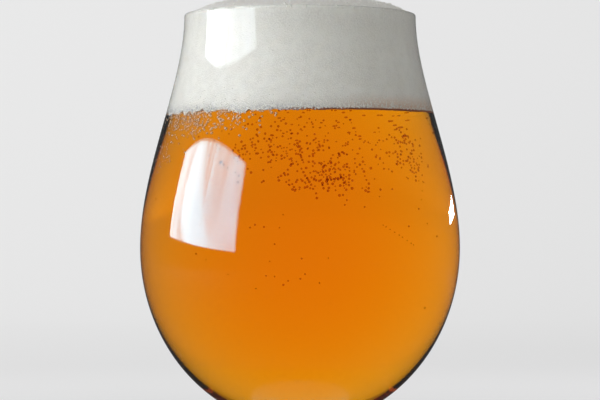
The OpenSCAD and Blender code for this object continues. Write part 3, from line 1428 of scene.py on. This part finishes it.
class PINT_OT_foam_beads(bpy.types.Operator):
    """Set bubbles into the foam's skin, along its foot, over its crown and at the rim"""

    bl_idname = "pint.foam_beads"
    bl_label = "Foam bubbles"

    def execute(self, context):
        pint = pint_settings()
        head, draw = Head(pint), random.Random(FOAM_SEED)
        beads = self.foot(pint, head, draw)
        beads += self.crown(head, draw)
        beads += self.rim(head, draw)
        piece = bead_cloud("foam_bubbles", beads, 1)
        piece.data.materials.append(bpy.data.materials["beer_foam"])
        seat(piece, None)
        return {"FINISHED"}

    def foot(self, pint, head, draw):
        """Bubbles along the foam's lower edge, above the painted shade line where it is calm.
        """
        beads = []
        for _ in range(FOOT_BEADS):
            turn = draw.uniform(0, 2 * math.pi)
            radius = draw.uniform(*FOOT_RADII) * MM
            rise = min(draw.expovariate(1) * FOOT_RISE, FOOT_TOP) * MM
            rise += pint.drink.shade_line * (1 - head.frothy(turn))
            beads.append((head.on_wall(turn, rise, radius * FOOT_SUNK), radius))
        return beads

    def crown(self, head, draw):
        """Bubbles over the crown, most of them small."""
        beads = []
        for _ in range(CROWN_BEADS):
            turn = draw.uniform(0, 2 * math.pi)
            radius = min(draw.lognormvariate(*CROWN_RADII), CROWN_LARGEST) * MM
            out = draw.random() ** CROWN_GATHER
            beads.append((head.on_crown(turn, out, radius * CROWN_SUNK), radius))
        return beads

    def rim(self, head, draw):
        """Bubbles against the glass under the rim."""
        least, mean, most = RIM_DEPTHS
        beads = []
        for number, bearing, fan in RIM_BEADS:
            for _ in range(number):
                turn = math.radians(draw.gauss(bearing, fan) - 90)
                radius = draw.uniform(*RIM_RADII) * MM
                below = min(least + draw.expovariate(1) * mean, most) * MM
                place = head.on_wall(turn, head.side - below, radius * RIM_SUNK)
                beads.append((place, radius))
        return beads


def outward(bearing):
    """The level direction at a bearing: 0 to the camera, positive to its right."""
    return Vector((math.sin(bearing), -math.cos(bearing), 0))


def aim(thing, place, target):
    """Puts a thing at a place, facing a point."""
    thing.location = place
    thing.rotation_mode = "QUATERNION"
    thing.rotation_quaternion = (target - place).to_track_quat("-Z", "Y")


def add_light(name, width, height, power, tint):
    """A rectangular light that no eye sees, not even through the glass."""
    data = bpy.data.lights.new(name, "AREA")
    data.shape = "RECTANGLE"
    data.size, data.size_y = width, height
    data.energy = power
    data.color = tint
    light = bpy.data.objects.new(name, data)
    light.visible_camera = False
    light.visible_transmission = False
    bpy.context.scene.collection.objects.link(light)
    return light


# Rings of the sweep's floor, and steps of the curve that joins it to the wall
FLOOR_RINGS = 6
COVE_STEPS = 24

# The nearest and the farthest that the camera sees, in metres
VIEW_RANGE = (0.01, 20)


class PINT_OT_stage(bpy.types.Operator):
    """Set up the pale sweep, the soft lights and the camera"""

    bl_idname = "pint.stage"
    bl_label = "Stage"

    def execute(self, context):
        pint = pint_settings()
        self.sweep(pint)
        self.lights(pint)
        self.camera(pint)
        context.scene.view_settings.view_transform = "Standard"
        return {"FINISHED"}

    def sweep(self, pint):
        """The floor and the wall round it, joined by a cove."""
        studio = pint.studio
        cove, sides = studio.sweep_cove, studio.sweep_sides
        flat = studio.sweep_radius - cove
        outline = [(flat * i / FLOOR_RINGS, 0) for i in range(1, FLOOR_RINGS + 1)]
        outline += arc((flat, cove), cove, -90, 0, COVE_STEPS)[1:]
        outline.append((studio.sweep_radius, studio.sweep_height))
        verts = [(0, 0, 0)]
        for radius, z in outline:
            for k in range(sides):
                turn = 2 * math.pi * k / sides
                verts.append((radius * math.cos(turn), radius * math.sin(turn), z))
        faces = []
        for k in range(sides):
            after = (k + 1) % sides
            faces.append((0, 1 + k, 1 + after))
            for ring in range(len(outline) - 1):
                here, there = 1 + ring * sides, 1 + (ring + 1) * sides
                faces.append((here + k, there + k, there + after, here + after))
        sweep = new_piece("studio_sweep", verts, faces)
        sweep.data.materials.append(sweep_material(pint))
        sweep.location.z = -studio.floor_gap

    def lights(self, pint):
        """The soft sky, the cloth-covered key light and a small light behind."""
        studio = pint.studio
        world = bpy.data.worlds.new("studio_sky")
        world.use_nodes = True
        nodes = Nodes(world.node_tree)
        mirrored = mirror_rays(nodes)
        sky = world.node_tree.nodes["Background"]
        nodes.put(sky, "Color", (1, 1, 1, 1))
        nodes.put(
            sky, "Strength", nodes.switch(mirrored, studio.sky, studio.sky_mirrored)
        )
        bpy.context.scene.world = world
        key = add_light(
            "key", studio.key_width, studio.key_height, studio.key_power,
            pint.colours.key,
        )
        key.visible_glossy = False
        cloth = self.cloth(pint)
        out = outward(studio.key_bearing)
        along = outward(studio.key_bearing - math.pi / 2)
        middle = pint.glass.rim_z - studio.eye_drop + studio.key_height / 2
        place = out * studio.key_distance + along * studio.key_shift
        place.z = middle
        for thing in (key, cloth):
            aim(thing, place, place - out)
            thing.rotation_quaternion = (
                thing.rotation_quaternion @ Quaternion((0, 0, 1), -studio.key_lean)
            )
        strip = add_light(
            "strip", studio.strip_width, studio.strip_height, studio.strip_power,
            pint.colours.strip,
        )
        strip_place = outward(studio.strip_bearing) * studio.strip_away
        strip_place.z = studio.strip_z
        aim(strip, strip_place, Vector((0, 0, studio.strip_aim)))

    def cloth(self, pint):
        """The lit cloth that shows in the glass as the key light's reflection."""
        w, h = pint.studio.key_width / 2, pint.studio.key_height / 2
        corners = [(-w, -h, 0), (w, -h, 0), (w, h, 0), (-w, h, 0)]
        cloth = new_piece("light_cloth", corners, [(0, 1, 2, 3)])
        cloth.data.materials.append(cloth_material(pint))
        for use in ("camera", "diffuse", "shadow", "volume_scatter"):
            setattr(cloth, "visible_" + use, False)
        return cloth

    def camera(self, pint):
        """A level camera a little below the rim."""
        studio = pint.studio
        data = bpy.data.cameras.new("camera")
        data.lens = studio.lens
        data.clip_start, data.clip_end = VIEW_RANGE
        camera = bpy.data.objects.new("camera", data)
        camera.location = (0, -studio.distance, pint.glass.rim_z - studio.eye_drop)
        camera.rotation_euler = (math.pi / 2, 0, 0)
        bpy.context.scene.collection.objects.link(camera)
        bpy.context.scene.camera = camera


OPERATORS = (
    PINT_OT_stage, PINT_OT_glass, PINT_OT_beer, PINT_OT_foam, PINT_OT_bubbles,
    PINT_OT_froth, PINT_OT_foam_beads,
)


class PINT_PT_panel(bpy.types.Panel):
    """Lists the pint's operators"""

    bl_idname = "PINT_PT_panel"
    bl_label = "Pint of beer"
    bl_space_type = "VIEW_3D"
    bl_region_type = "UI"
    bl_category = "Pint"

    def draw(self, context):
        for operator in OPERATORS:
            self.layout.operator(operator.bl_idname)


GROUPS = (GlassSizes, DrinkSizes, Colours, Finishes, StudioSettings, PintSettings)


def register():
    for cls in GROUPS + OPERATORS + (PINT_PT_panel,):
        bpy.utils.register_class(cls)
    bpy.types.Scene.pint = PointerProperty(type=PintSettings)


def unregister():
    del bpy.types.Scene.pint
    for cls in reversed(GROUPS + OPERATORS + (PINT_PT_panel,)):
        bpy.utils.unregister_class(cls)


def main():
    """Builds everything."""
    register()
    bpy.ops.pint.stage()
    bpy.ops.pint.glass()
    bpy.ops.pint.beer()
    bpy.ops.pint.foam()
    bpy.ops.pint.bubbles()
    bpy.ops.pint.froth()
    bpy.ops.pint.foam_beads()


if __name__ == "__main__":
    main()
